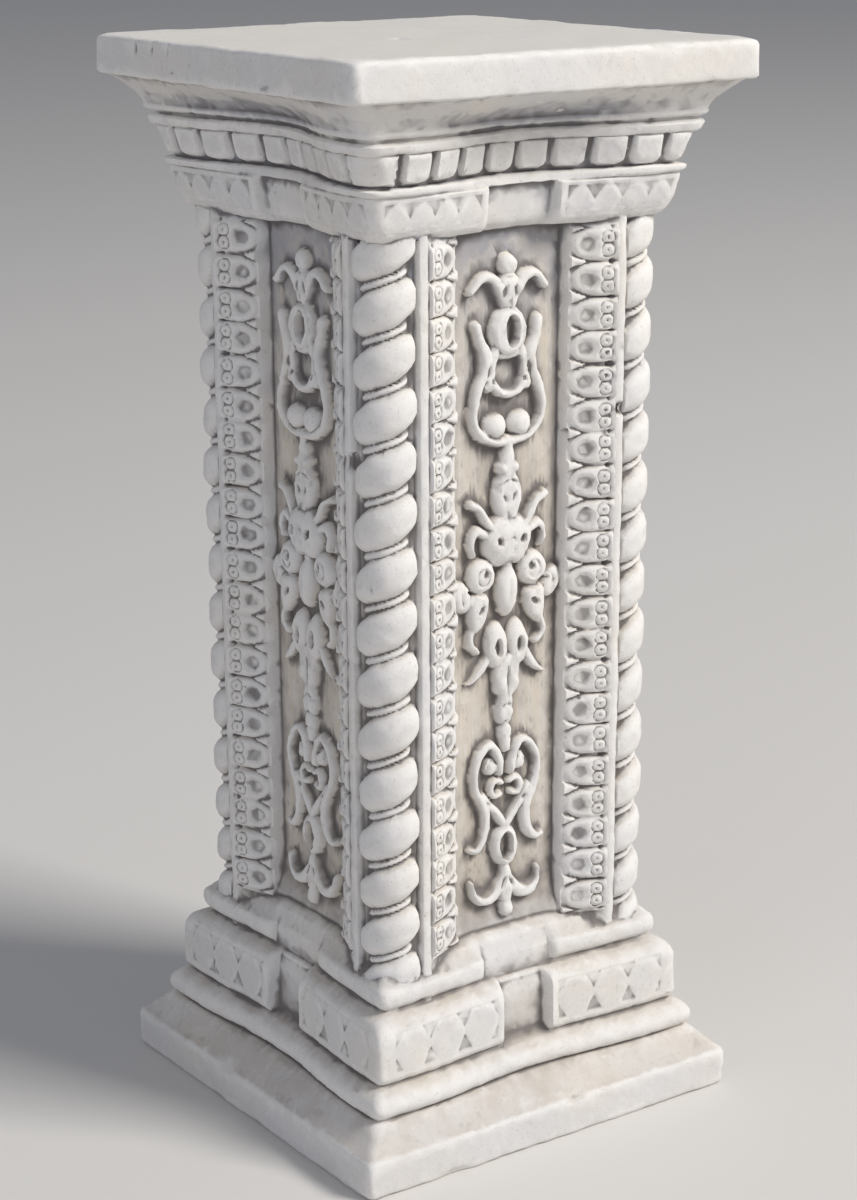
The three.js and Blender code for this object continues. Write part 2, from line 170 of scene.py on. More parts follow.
class Relief:
    """Relief drawn on a flat field of points x, z with a height for each. With fold, what is drawn
    at x shows at -x as well."""

    def __init__(self, x, z):
        self.x, self.z = x, z
        self.height = np.zeros(x.shape)

    def oval(self, x, z, a, b, turn=0.0, fold=True):
        """About the signed distance to an oval with half axes a and b."""
        px = (np.abs(self.x) if fold else self.x) - x
        pz = self.z - z
        c, s = math.cos(turn), math.sin(turn)
        px, pz = c * px + s * pz, c * pz - s * px
        return (np.hypot(px / a, pz / b) - 1) * min(a, b)

    def path(self, points, fold=True):
        """Signed distance to a smooth path whose points are x, z and half width."""
        p = np.array(points, float)
        ends = np.vstack([2 * p[0] - p[1], p, 2 * p[-1] - p[-2]])
        line = [p[0]]
        for i in range(len(p) - 1):
            a, b, c, d = ends[i : i + 4]
            for t in np.linspace(0, 1, 7)[1:]:
                line.append(0.5 * (2 * b + (c - a) * t + (2 * a - 5 * b + 4 * c - d) * t**2
                                   + (3 * b - a - 3 * c + d) * t**3))
        px = np.abs(self.x) if fold else self.x
        best = np.full(px.shape, 1e9)
        for a, b in zip(line, line[1:]):
            run = b[:2] - a[:2]
            t = ((px - a[0]) * run[0] + (self.z - a[1]) * run[1]) / max(run @ run, 1e-9)
            t = np.clip(t, 0, 1)
            gap = np.hypot(px - a[0] - t * run[0], self.z - a[1] - t * run[1])
            best = np.minimum(best, gap - (a[2] + t * (b[2] - a[2])))
        return best

    def add(self, distance, rise, edge=None):
        """Raises what lies inside to a rounded top, edge mm in from its outline."""
        edge = edge or 0.75 * rise
        t = np.clip(-distance / edge, 0, 1)
        self.height = np.maximum(self.height, rise * np.sqrt(1 - (1 - t) ** 2))

    def cut(self, distance, depth):
        """Sinks what lies inside by depth."""
        self.height = self.height - ease(-distance + 0.5) * depth

    def hole(self, distance):
        """Opens what lies inside down to the ground."""
        self.height = self.height * (1 - ease(-distance / 1.2 + 0.5))


def panel_ornament(x, z):
    """From the top: palmette, ring, lyre with two balls, stem and urn, roundels and petals round an
    oval, two loops, tail, upturned lyre, ring and hanging palmette."""
    wobble_x = x + 0.7 * waves(x, 0 * x, z, 34, 5)
    wobble_z = z + 0.7 * waves(x, 0 * x + 50, z, 30, 6)
    r = Relief(wobble_x, wobble_z)
    r.add(r.path([(0, 592, 6), (0, 600, 9), (0, 608, 8.5)]), 7.5)
    r.add(r.path([(4, 600, 5), (13, 611, 5), (22, 612, 4.2), (31, 604, 3.4)]), 7.5, 4)
    r.cut(r.oval(4.5, 602, 1.6, 4.2, 0.3), 1.8)
    r.cut(r.oval(0, 594, 1.2, 4), 1.2)
    r.add(r.oval(0, 620, 8, 8.5), 8, 6)
    r.cut(np.abs(r.oval(0, 620, 8.2, 8.8)) - 0.9, 1.2)
    r.add(r.oval(0, 575, 15.5, 18.5), 8.5, 5)
    r.cut(np.abs(r.oval(-1, 575, 12.6, 15.8, fold=False)) - 0.7, 1.3)
    r.hole(r.oval(1.5, 575, 5.2, 10, fold=False))
    r.add(r.path([(25, 581, 4.6), (23, 571, 4.6), (19, 560, 5.4), (20, 548, 5.2), (26, 534, 4.4),
                  (28.5, 521, 4), (25, 509, 4.2), (14, 501, 4.4), (0, 499, 4.4)]), 8, 4)
    r.add(r.path([(10, 563, 4.6), (13.5, 555, 4.4), (14, 545, 4.6), (15, 538, 5)]), 6.5, 3.4)
    r.add(r.oval(0, 560, 12, 5), 6.5, 3.4)
    r.add(r.path([(13, 540, 4.6), (7, 534, 4), (0, 532, 4)]), 7.5, 3.6)
    r.cut(r.oval(17, 549, 1.4, 5, 0.2), 1.8)
    r.cut(r.oval(12.5, 541, 1.7, 1.7), 2)
    r.add(r.oval(10.4, 511, 10.2, 10), 9.5, 8.5)
    r.cut(np.abs(r.oval(10.4, 511, 8.2, 8)) - 0.5, 0.7)
    r.add(r.path([(0, 500, 4.6), (0, 488, 6.4), (0, 474, 8.6), (0, 462, 13), (0, 450, 9)]), 8.5, 6)
    r.add(r.oval(5, 481, 4.4, 5), 9.5, 4)
    r.cut(r.path([(2, 473, 0.8), (8, 470, 0.8)]), 1.5)
    r.cut(r.oval(9.5, 467, 1.5, 2.6), 1.8)
    r.cut(r.oval(4, 461, 1.2, 3.4, -0.3), 1.4)
    r.add(r.oval(0, 430, 21.5, 20.5), 11.5, 13)
    r.cut(r.oval(9.4, 431, 2.4, 3.4, -0.3), 3.6)
    r.add(r.path([(14, 440, 4), (19, 447, 3.8), (24, 455, 3.6), (31, 459, 3.8)]), 8, 3.4)
    r.add(r.path([(18, 436, 4), (27, 439, 3.8), (31, 431, 3.4), (29, 423, 2.6)]), 7.5, 3.4)
    r.add(r.oval(22, 407, 12.4, 13), 9, 7)
    r.cut(np.abs(r.oval(22, 407, 5, 6)) - 0.7, 1.0)
    r.cut(r.oval(20, 409, 1.8, 2.6), 2.6)
    r.add(r.oval(38, 394, 8, 13, -0.25), 6.5, 5)
    r.cut(r.path([(35, 403, 0.6), (39, 396, 0.6), (38, 388, 0.6)]), 0.9)
    r.add(r.path([(24, 388, 9.4), (25, 380, 9), (28, 371, 4.6)]), 8.5, 6)
    r.cut(r.path([(14, 395, 1), (24, 394, 1.1), (34, 398, 1)]), 2.2)
    r.cut(r.oval(23, 383, 1.8, 3.6, 0.9), 2.6)
    r.add(r.path([(25, 376, 3.6), (31, 367, 3.4), (31, 359, 3.8), (26, 354, 3.6)]), 7, 3.2)
    r.add(r.oval(0, 394, 10, 20.5), 10.5, 8)
    r.cut(np.abs(r.oval(0, 394, 10.6, 21)) - 0.8, 2.6)
    r.cut(r.oval(0, 396, 0.7, 13), 0.6)
    r.add(r.oval(9, 355, 9.8, 18), 9, 6)
    r.cut(r.oval(0, 355, 0.9, 15), 2.4)
    r.cut(r.oval(9, 355, 2.6, 6.4), 4.4)
    r.add(r.path([(16, 349, 3.4), (22, 339, 4.2), (29, 332, 2.6), (33, 331, 1.4)]), 6.5, 3.2)
    r.add(r.path([(0, 338, 12), (0, 328, 11), (0, 319, 7), (0, 306, 8.2), (0, 297, 5.4),
                  (0, 290, 6.4), (1, 278, 3)]), 7.5, 5)
    r.add(r.oval(5.5, 328, 5.4, 9, 0.2), 9, 4.6)
    r.cut(r.oval(0, 330, 0.9, 9), 2.2)
    r.cut(r.path([(1, 313, 0.7), (6, 309, 0.8)]), 1.6)
    r.cut(r.path([(0, 300, 0.7), (5, 296, 0.8)]), 1.4)
    r.cut(r.path([(1, 287, 0.7), (5, 285, 0.8)]), 1.2)
    r.add(r.path([(5, 262, 3.6), (6, 272, 3.8), (13, 282, 3.8), (22, 278, 3.8), (28, 266, 3.6),
                  (26, 252, 3.8), (20, 240, 4.6), (17, 228, 4.8), (20, 215, 4.4),
                  (26, 208, 4), (31, 209, 2.8)]), 7.5, 3.6)
    r.add(r.oval(12, 267, 6.4, 7), 6, 4)
    r.cut(r.path([(9, 270, 0.6), (13, 272, 0.7), (16, 267, 0.7)]), 1.4)
    r.add(r.path([(3, 254, 2.8), (9, 256, 3), (13, 251, 3.2), (10, 245, 3.2), (5, 246, 2.8)]), 6.5, 3)
    r.add(r.path([(20, 247, 3.6), (15, 240, 3.8), (8, 231, 4), (1, 222, 4)]), 6.5, 3.4)
    r.cut(r.oval(15, 241, 1.3, 2.4, -0.6), 1.4)
    r.add(r.oval(0, 206, 11.8, 16.5), 8, 4.6)
    r.hole(r.oval(0, 206, 5, 10))
    r.add(r.path([(0, 188, 5), (0, 178, 7.5), (0, 168, 6.5)]), 8, 5)
    r.add(r.path([(3, 180, 5), (11, 170, 5.6), (21, 168, 4.8), (28, 174, 3.6), (30, 182, 2.6)]),
          8, 4)
    r.cut(r.oval(3.4, 179, 1.1, 4, 0.4), 1.8)
    r.add(r.oval(0, 160, 6, 7.4), 7, 4.4)
    return r.height + 0.35 * waves(x, 0 * x, z, 7, 8) * (r.height > 1.5)


def dome(distance, edge):
    """Rounded rise from 0 at an outline to 1 at edge mm inside it."""
    return np.sqrt(1 - (1 - np.clip(-distance / edge, 0, 1)) ** 2)


def leaf_band(across, z):
    """Height over a band. across is mm from the fillet, 34 at the panel's edge. The tongues lie
    across with their hollow tips at the panel, each with two drilled curls at its root, and a
    forked dart stands between each two tips."""
    tongue_root, dart_root, curl_across, curl_aside, curl_radius = 15, 21.5, 8.6, 4.4, 4.6
    step = (z - LEAF_LOW) / LEAF_PITCH
    row = np.floor(step)
    half = LEAF_PITCH / 2
    b = (step - row - 0.5) * LEAF_PITCH + 0.7 * np.sin(row * 2.1 + 0.05 * across)
    reach = 32.6 + 0.9 * np.sin(row * 1.3)
    tip = np.maximum(across - tongue_root, 0) / (reach - tongue_root)
    tongue = (np.hypot(tip, b / (half - 0.3)) - 1) * half
    height = 3.9 * dome(tongue, 6.0)
    bowl = np.hypot((across - 22.5) / 6.8, b / (0.52 * half))
    height -= 2.2 * ease((1.35 - bowl) / 0.8)
    for side in (-1, 1):
        curl = np.hypot(across - curl_across, b - curl_aside * side)
        height -= 1.4 * ease(1 - np.abs(curl - curl_radius) / 1.1)
        height -= 1.5 * ease(1.3 - curl / 1.2)
    fork = np.abs(np.abs(b) - half) - 0.42 * np.maximum(across - dart_root, 0) ** 0.92
    fork = np.maximum(fork, dart_root - across)
    height = np.maximum(height, 3.1 * dome(fork, 2.4))
    height -= 1.2 * ease(1 - np.abs(np.abs(b) - half) / 0.8) * ease((22 - across) / 2)
    height -= 2.2 * ease(1.25 - np.hypot(across - 4.4, np.abs(b) - half) / 2.1)
    height -= 1.4 * ease(1.25 - np.hypot(across - 5.2, b) / 1.2)
    inside = ease((z - LEAF_LOW + 3) / 4) * ease((LEAF_LOW + LEAF_COUNT * LEAF_PITCH + 3 - z) / 4)
    return height * inside * ease((across + 0.3) / 1.2)


def rope_radius(angle, z):
    """Radius of a rope of big slanting beads, with a thin strand between each two. The angle runs
    round the rope's axis, and the warp sets the lower beads as unevenly as they stand."""
    bead_middle, bead_half, bead_depth = 0.57, 0.43, 7.2
    strand_middle, strand_share, strand_depth = 0.07, 0.14, 4.3
    warp = 4.4 * np.exp(-(((z - 240) / 95) ** 2))
    swing = angle - math.radians(225)
    side = swing / ROPE_SWING
    phase = (z + warp - ROPE_START) / ROPE_PITCH - ROPE_SLANT * swing / (2 * math.pi)
    turn = np.floor(phase)
    phase = phase - turn
    q = (phase - bead_middle) / bead_half
    corner = 0.6 * np.clip(-q * side, 0, 1) ** 2 + 0.16 * np.clip(q * side, 0, 1) ** 2
    wide = (q**4 + (0.72 * side) ** 8) ** 0.25 + corner * ease((np.abs(side) - 0.25) / 0.9)
    bead = bead_depth * np.clip(wide, 0, 1.02) ** 3.6
    off_strand = np.clip(np.abs(phase - strand_middle) / strand_middle, 0, 1.4)
    strand = strand_depth + 2.2 * off_strand**2.4 + 3.2 * np.abs(side) ** 5
    swell = 0.35 * np.sin(turn * 2.3 + 1.1)
    return ROPE_RADIUS + swell - np.where(phase < strand_share, np.minimum(strand, 7.4), bead)


def dentil_depth(x, z, flip):
    """How far a dentil stands out of its course at x and z, from 0 to 1. The row stops short at one
    end, where the course is plain."""
    best = np.zeros(np.broadcast(x, z).shape)
    for i in range(DENTIL_COUNT):
        px = np.abs(x - flip * (DENTIL_FIRST + i * DENTIL_PITCH)) - DENTIL_HALF
        pz = DENTIL_LOW + 1.6 - z
        corner = np.hypot(np.maximum(px + 5.5, 0), np.maximum(pz + 5.5, 0)) - 5.5
        best = np.maximum(best, ease(-corner / 2.2 + 0.35))
    plain = flip * x < DENTIL_FIRST - 16
    return np.where(plain, ease((z - DENTIL_LOW) / 2), best)


def block_relief(x, z, low, high, inner, lobes):
    """Low relief on each block from the gap to the corner: a row of mounds with notches between them
    on the capital, a row of pointed ovals with sunk triangles between them on the base."""
    middle, half_high = (low + high) / 2, (high - low) / 2
    start, end = inner + 7, 119
    reach = np.abs(x)
    past_end = np.abs(reach - (start + end) / 2) - (end - start) / 2
    box = np.maximum(past_end, np.abs(z - middle) - half_high)
    cells = 4 if lobes else 3
    pitch = (end - start) / cells
    k = (reach - start) / pitch
    aside = pitch * (0.5 - np.abs(k - np.floor(k) - 0.5))
    rise = (z - middle) / half_high
    if lobes:
        crest = 0.8 - 1.1 * (1 - 2 * aside / pitch) ** 1.7
        lower = 5 - np.hypot(aside, z - low)
        sunk = 0.8 * ease((rise - crest) * half_high / 3) + 0.4 * ease(1 - np.abs(lower) / 1.1)
    else:
        notch = 8.6 * (np.abs(rise) - 0.14) - aside
        sunk = 0.75 * ease(notch / 1.2) + 0.5 * ease(1 - np.abs(notch - 0.4) / 1.0)
    frame_line = 0.3 * ease(1 - np.abs(box) / 1.0)
    return frame_line + sunk * ease(-box / 1.2)


def bow_at(x, bow):
    """How far a side that bows inwards stands in at x."""
    return bow * (1 + np.cos(math.pi * np.minimum(np.abs(x) / BOW_REACH, 1))) / 2


def dense(levels):
    """The levels with more between them, about STEP apart along the profile."""
    rows = [levels[0]]
    for a, b in zip(levels, levels[1:]):
        length = math.hypot(b[0] - a[0], b[1] - a[1])
        count = max(1, round(length / STEP))
        for i in range(1, count + 1):
            rows.append([p + (q - p) * i / count for p, q in zip(a, b)])
    return np.array(rows, float)


def side_columns():
    """Columns of one side from its left corner: hand, share of the rope or -1, x on the shaft. The
    flat ones run over the fillet, the leaf band, the panel's wall and the panel to its middle."""
    rope = [(s, 0.0) for s in np.linspace(0, 1, 34)]
    flat = [-87.4, -87.1, -86.7, -86.4, -86, -85.6, -85.1, -84.4, -83.4, -82, -80.6, -79.4]
    flat += [-78.6, -78.1]
    flat += list(np.linspace(-77.6, -47.6, 36)) + [-47, -46.6, -46, -45.5, -45]
    flat += list(np.arange(-44, 0.5, 1.0))
    left = rope + [(-1.0, x) for x in flat]
    right = [(s, -x) for s, x in reversed(left[1:-1])]
    shares = np.array([s for s, _ in left + right])
    xs = np.array([x for _, x in left + right])
    hands = np.array([-1] * len(left) + [1] * len(right))
    return hands, shares, xs


def moulding_plan(hands, shares, xs, rows):
    """The mouldings' surface at the rows' levels, a column for each of xs. Each side ends in the
    middle of the round corner, and the rope's columns run from there to the slot beside it."""
    slot_x, arc_in, arc_along, wall_width = 87.8, 0.293, 0.7072, 4.8
    z, half, bow, gap, gap_half, radius = [column[:, None] for column in rows.T]
    limit = half - arc_in * radius
    x = np.where(shares >= 0, hands * (limit + (slot_x - limit) * np.maximum(shares, 0)), xs)
    over = np.clip(np.abs(x) - (half - radius), 0, radius * arc_along)
    turn = radius - np.sqrt(np.maximum(radius**2 - over**2, 0))
    wall = ease((gap_half + wall_width / 2 - np.abs(x)) / wall_width)
    return x, turn + bow_at(x, bow) + gap * wall - half, z + 0 * x


def shaft_plan(hands, shares, xs, z):
    """The shaft's surface at heights z, a column for each of xs."""
    z = z[:, None] + 0 * xs[None, :]
    x = xs[None, :] + 0 * z
    on_rope = shares[None, :] >= 0
    share = np.maximum(shares, 0)[None, :] + 0 * z
    local = math.radians(225) - hands * ROPE_SWING * share
    radius = rope_radius(local, z)
    angle = np.where(hands < 0, local, local + math.pi / 2)
    rope_x = hands * ROPE_AXIS + radius * np.cos(angle)
    rope_y = -ROPE_AXIS + radius * np.sin(angle)
    reach = np.abs(x)
    edge = 5.6 * ease((reach - 85.4) / 1.1) + 0.7 * ease((reach - 84.2) / 1.6)
    edge = edge + 0.8 * ease((79.4 - reach) / 1.4)
    fillet = -SHAFT_HALF + edge
    across = FILLET_INNER - reach
    width = FILLET_INNER - BAND_INNER
    slope = BAND_DEPTH / width
    along_band = across * math.hypot(1, slope)
    band = -SHAFT_HALF + 0.8 + slope * np.clip(across, 0, width) - leaf_band(along_band, z)
    ground = ease((z - 175) / 30) * ease((620 - z) / 40)
    panel = -PANEL_FACE - panel_ornament(x, z) + 0.1 * ground * np.sin(x * 1.9 + 0.01 * z)
    sag = np.clip((176 - z) / 27, 0, 1)
    panel = panel - 5 * sag**2 - 2.5 * sag * np.clip((reach - 28) / 16, 0, 1) ** 2
    wall = ease((reach - PANEL_HALF) / 2.0)
    y = np.where(reach > FILLET_INNER, fillet, band)
    y = np.where(reach < BAND_INNER, panel * (1 - wall) - PANEL_RIM * wall, y)
    scale = 1 + SHAFT_SPREAD * (z / HEIGHT - 0.5)
    return np.where(on_rope, rope_x, x) * scale, np.where(on_rope, rope_y, y) * scale, z


def outermost(shaft, moulding, hands, shares, level):
    """The outer of the two surfaces, column by column."""
    sx, sy, z = shaft
    mx, my, _ = moulding
    scale = 1 + SHAFT_SPREAD * (level[:, None] / HEIGHT - 0.5)
    axis_x, axis_y = hands * ROPE_AXIS * scale, -ROPE_AXIS * scale
    far_shaft = np.where(shares >= 0, np.hypot(sx - axis_x, sy - axis_y), -sy)
    far_moulding = np.where(shares >= 0, np.hypot(mx - axis_x, my - axis_y), -my)
    pick = far_moulding > far_shaft
    return np.where(pick, mx, sx), np.where(pick, my, sy), z


def side_surface(side):
    """One side as rows of points from the foot to the head."""
    columns = side_columns()
    hands, shares, _ = columns
    base, capital = dense(BASE), dense(CAPITAL)
    plain = np.arange(149.5, CAPITAL_LOW - 0.4, STEP)
    parts = []

    x, y, z = moulding_plan(*columns, base)
    y = y + block_relief(x, z, 75, 105, 20, False) * ease((18 - np.abs(z - 90)) / 2)
    joined = outermost(shaft_plan(*columns, base[:, 0]), (x, y, z), hands, shares, base[:, 0])
    near = (base[:, 0] > 112)[:, None]
    parts.append([np.where(near, j, m) for j, m in zip(joined, (x, y, z))])

    parts.append(list(shaft_plan(*columns, plain)))

    x, y, z = moulding_plan(*columns, capital)
    y = y + block_relief(x, z, 652, 672, 28, True) * ease((12 - np.abs(z - 662)) / 2)
    flip = -1 if side % 2 else 1
    course = ease((z - DENTIL_LOW + 0.4) / 0.8) * ease((DENTIL_HIGH + 0.2 - z) / 0.8)
    y = y - DENTIL_RISE * course * dentil_depth(x, z, flip)
    joined = outermost(shaft_plan(*columns, capital[:, 0]), (x, y, z), hands, shares, capital[:, 0])
    near = (capital[:, 0] < SHAFT_HIGH)[:, None]
    parts.append([np.where(near, j, m) for j, m in zip(joined, (x, y, z))])

    points = np.stack([np.concatenate([p[i] for p in parts]) for i in range(3)], axis=-1)
    turn = side * math.pi / 2
    c, s = math.cos(turn), math.sin(turn)
    return points @ np.array([[c, s, 0], [-s, c, 0], [0, 0, 1]])


def dent(points, normals, centre, size, depth):
    """A shallow break: the surface is pushed in round a centre, or out where depth is negative."""
    gap = np.linalg.norm((points - np.array(centre)) / np.array(size), axis=-1)
    return points - normals * (depth * ease(1.15 - gap))[..., None]


def pillar_points():
    """Rows of points round all four sides, made uneven and dented."""
    points = np.concatenate([side_surface(side) for side in range(4)], axis=1)
    along = np.roll(points, -1, axis=1) - np.roll(points, 1, axis=1)
    up = np.gradient(points, axis=0)
    normals = np.cross(along, up)
    normals /= np.maximum(np.linalg.norm(normals, axis=-1, keepdims=True), 1e-6)
    x, y, z = np.moveaxis(points, -1, 0)
    uneven = 0.5 * waves(x, y, z, 60, 1) + 0.28 * waves(x, y, z, 17, 2) + 0.14 * waves(x, y, z, 6, 3)
    points = points + normals * (uneven - 0.35)[..., None]
    for centre, size, depth in DENTS:
        points = dent(points, normals, centre, size, depth)
    return points


def faces_of(rows, columns):
    """The quads of a grid whose rows close round."""
    index = np.arange(rows * columns).reshape(rows, columns)
    right = np.roll(index, -1, axis=1)
    return np.stack([index[:-1], right[:-1], right[1:], index[1:]], axis=-1).reshape(-1, 4)


def closing_rings(ring, count):
    """Rings from an end's rim in to its middle, and that middle."""
    shares = np.linspace(1, 0, count + 1)[1:-1]
    middle = np.array([0, 0, ring[:, 2].mean()])
    return [middle + (ring - middle) * s for s in shares], middle


def pillar_mesh():
    """The closed surface: the sides, the underside and the slightly uneven top with its small pit."""
    points = pillar_points()
    low_rings, low_middle = closing_rings(points[0] * [1, 1, 0], 24)
    high_rings, high_middle = closing_rings(points[-1] * [1, 1, 0] + [0, 0, HEIGHT], 60)
    high = np.array(high_rings)
    x, y, z = np.moveaxis(high, -1, 0)
    high[..., 2] -= 0.5 + 0.45 * waves(x, y, z, 70, 11) + 0.12 * waves(x, y, z, 16, 12)
    high[..., 2] -= 2.5 * ease(1.3 - np.hypot(x - TOP_PIT[0], y - TOP_PIT[1]) / 2.4)
    grid = np.concatenate([np.array(low_rings)[::-1], points, high])
    grid[..., :2] = np.clip(grid[..., :2], -SLAB_HALF, SLAB_HALF)
    grid[..., 2] = np.clip(grid[..., 2], 0, HEIGHT)
    rows, columns = grid.shape[:2]
    vertices = np.concatenate([grid.reshape(-1, 3), [low_middle, high_middle - [0, 0, 0.5]]])
    vertices[: columns * len(low_rings), 2] = 0
    quads = faces_of(rows, columns)
    here = np.arange(columns)
    after = np.roll(here, -1)
    foot, head = rows * columns, rows * columns + 1
    top = (rows - 1) * columns
    fans = np.concatenate([
        np.stack([after, here, np.full(columns, foot)], axis=-1),
        np.stack([top + here, top + after, np.full(columns, head)], axis=-1),
    ])
    mesh = bpy.data.meshes.new("pillar_fine")
    mesh.vertices.add(len(vertices))
    mesh.vertices.foreach_set("co", (vertices * 0.001).ravel())
    loops = np.concatenate([quads.ravel(), fans.ravel()])
    mesh.loops.add(len(loops))
    mesh.loops.foreach_set("vertex_index", loops)
    starts = np.concatenate([np.arange(len(quads)) * 4, len(quads) * 4 + np.arange(len(fans)) * 3])
    mesh.polygons.add(len(starts))
    mesh.polygons.foreach_set("loop_start", starts)
    mesh.update(calc_edges=True)
    return mesh


def thinned(mesh):
    """The mesh with its triangles brought down to TRIANGLES, kept inside the solid's box."""
    fine = bpy.data.objects.new("pillar_fine", mesh)
    bpy.context.collection.objects.link(fine)
    thin = fine.modifiers.new("thin", "DECIMATE")
    total = sum(len(p.vertices) - 2 for p in mesh.polygons)
    thin.ratio = TRIANGLES / total
    thin.use_collapse_triangulate = True
    depsgraph = bpy.context.evaluated_depsgraph_get()
    result = bpy.data.meshes.new_from_object(fine.evaluated_get(depsgraph))
    bpy.data.objects.remove(fine)
    bpy.data.meshes.remove(mesh)
    result.name = "pillar_carved"
    co = np.empty(len(result.vertices) * 3, np.float32)
    result.vertices.foreach_get("co", co)
    limit = np.array([SLAB_HALF, SLAB_HALF, HEIGHT]) * 0.001
    co = np.clip(co.reshape(-1, 3), -limit * [1, 1, 0], limit)
    result.vertices.foreach_set("co", co.astype(np.float32).ravel())
    return result


def store_hollows(mesh):
    """For each vertex how hollow the surface is round it, close by and further off: how deep it
    lies under the smoothed surface, counted less where the edges are long."""
    count = len(mesh.vertices)
    co = np.empty(count * 3, np.float32)
    mesh.vertices.foreach_get("co", co)
    co = co.reshape(-1, 3).astype(float)
    normals = np.empty(count * 3, np.float32)
    mesh.vertices.foreach_get("normal", normals)
    normals = normals.reshape(-1, 3)
    edges = np.empty(len(mesh.edges) * 2, np.int32)
    mesh.edges.foreach_get("vertices", edges)
    a, b = edges.reshape(-1, 2).T
    valence = np.bincount(np.concatenate([a, b]), minlength=count)
    lengths = np.linalg.norm(co[a] - co[b], axis=1)
    mean = (np.bincount(a, lengths, count) + np.bincount(b, lengths, count)) / valence
    fine = np.minimum(1, WIDE_EDGE_M / mean)
    soft = co.copy()
    done = 0
    for name, rounds, scale in HOLLOWS:
        for _ in range(rounds - done):
            total = np.zeros_like(soft)
            for axis in range(3):
                total[:, axis] = np.bincount(a, soft[b, axis], count)
                total[:, axis] += np.bincount(b, soft[a, axis], count)
            soft = 0.5 * soft + 0.5 * total / valence[:, None]
        done = rounds
        depth = fine * np.einsum("ij,ij->i", soft - co, normals) / scale
        layer = mesh.attributes.new(name, "FLOAT", "POINT")
        layer.data.foreach_set("value", np.clip(depth, -1, 1).astype(np.float32))


def store_ground(mesh):
    """For each vertex how far it belongs to the flat ground of a sunk panel."""
    co = np.empty(len(mesh.vertices) * 3, np.float32)
    mesh.vertices.foreach_get("co", co)
    x, y, z = co.reshape(-1, 3).T * 1000
    scale = 1 + SHAFT_SPREAD * (z / HEIGHT - 0.5)
    out = np.maximum(np.abs(x), np.abs(y)) / scale
    across = np.minimum(np.abs(x), np.abs(y)) / scale
    ground = ease((PANEL_FACE + 3.4 - out) / 2.4) * ease((PANEL_HALF + 1 - across) / 3)
    ground = ground * ease((z - 146) / 4) * ease((CAPITAL_LOW + 4 - z) / 4)
    layer = mesh.attributes.new("ground", "FLOAT", "POINT")
    layer.data.foreach_set("value", ground.astype(np.float32))


def attribute(tree, name):
    made = tree.nodes.new("ShaderNodeAttribute")
    made.attribute_name = name
    return made.outputs["Fac"]


def ramp(tree, source, first, last):
    """Grey between two stops, each a position and a value."""
    made = tree.nodes.new("ShaderNodeValToRGB")
    tree.links.new(source, made.inputs[0])
    for stop, (position, value) in zip(made.color_ramp.elements, (first, last)):
        stop.position = position
        stop.color = (value, value, value, 1)
    return made.outputs[0]


def noise(tree, place, scale, detail=4.0, rough=0.55):
    made = tree.nodes.new("ShaderNodeTexNoise")
    made.inputs["Scale"].default_value = scale
    made.inputs["Detail"].default_value = detail
    made.inputs["Roughness"].default_value = rough
    tree.links.new(place, made.inputs["Vector"])
    return made.outputs["Fac"]


def mix(tree, share, a, b):
    """Colour a where share is 0 and colour b where it is 1."""
    made = tree.nodes.new("ShaderNodeMix")
    made.data_type = "RGBA"
    for name, value in (("Factor", share), ("A", a), ("B", b)):
        socket = next(s for s in made.inputs if s.name == name and s.enabled)
        if isinstance(value, bpy.types.NodeSocket):
            tree.links.new(value, socket)
        else:
            socket.default_value = value
    return next(s for s in made.outputs if s.enabled)


def maths(tree, operation, a, b):
    made = tree.nodes.new("ShaderNodeMath")
    made.operation = operation
    for i, value in enumerate((a, b)):
        if isinstance(value, bpy.types.NodeSocket):
            tree.links.new(value, made.inputs[i])
        else:
            made.inputs[i].default_value = value
    return made.outputs[0]


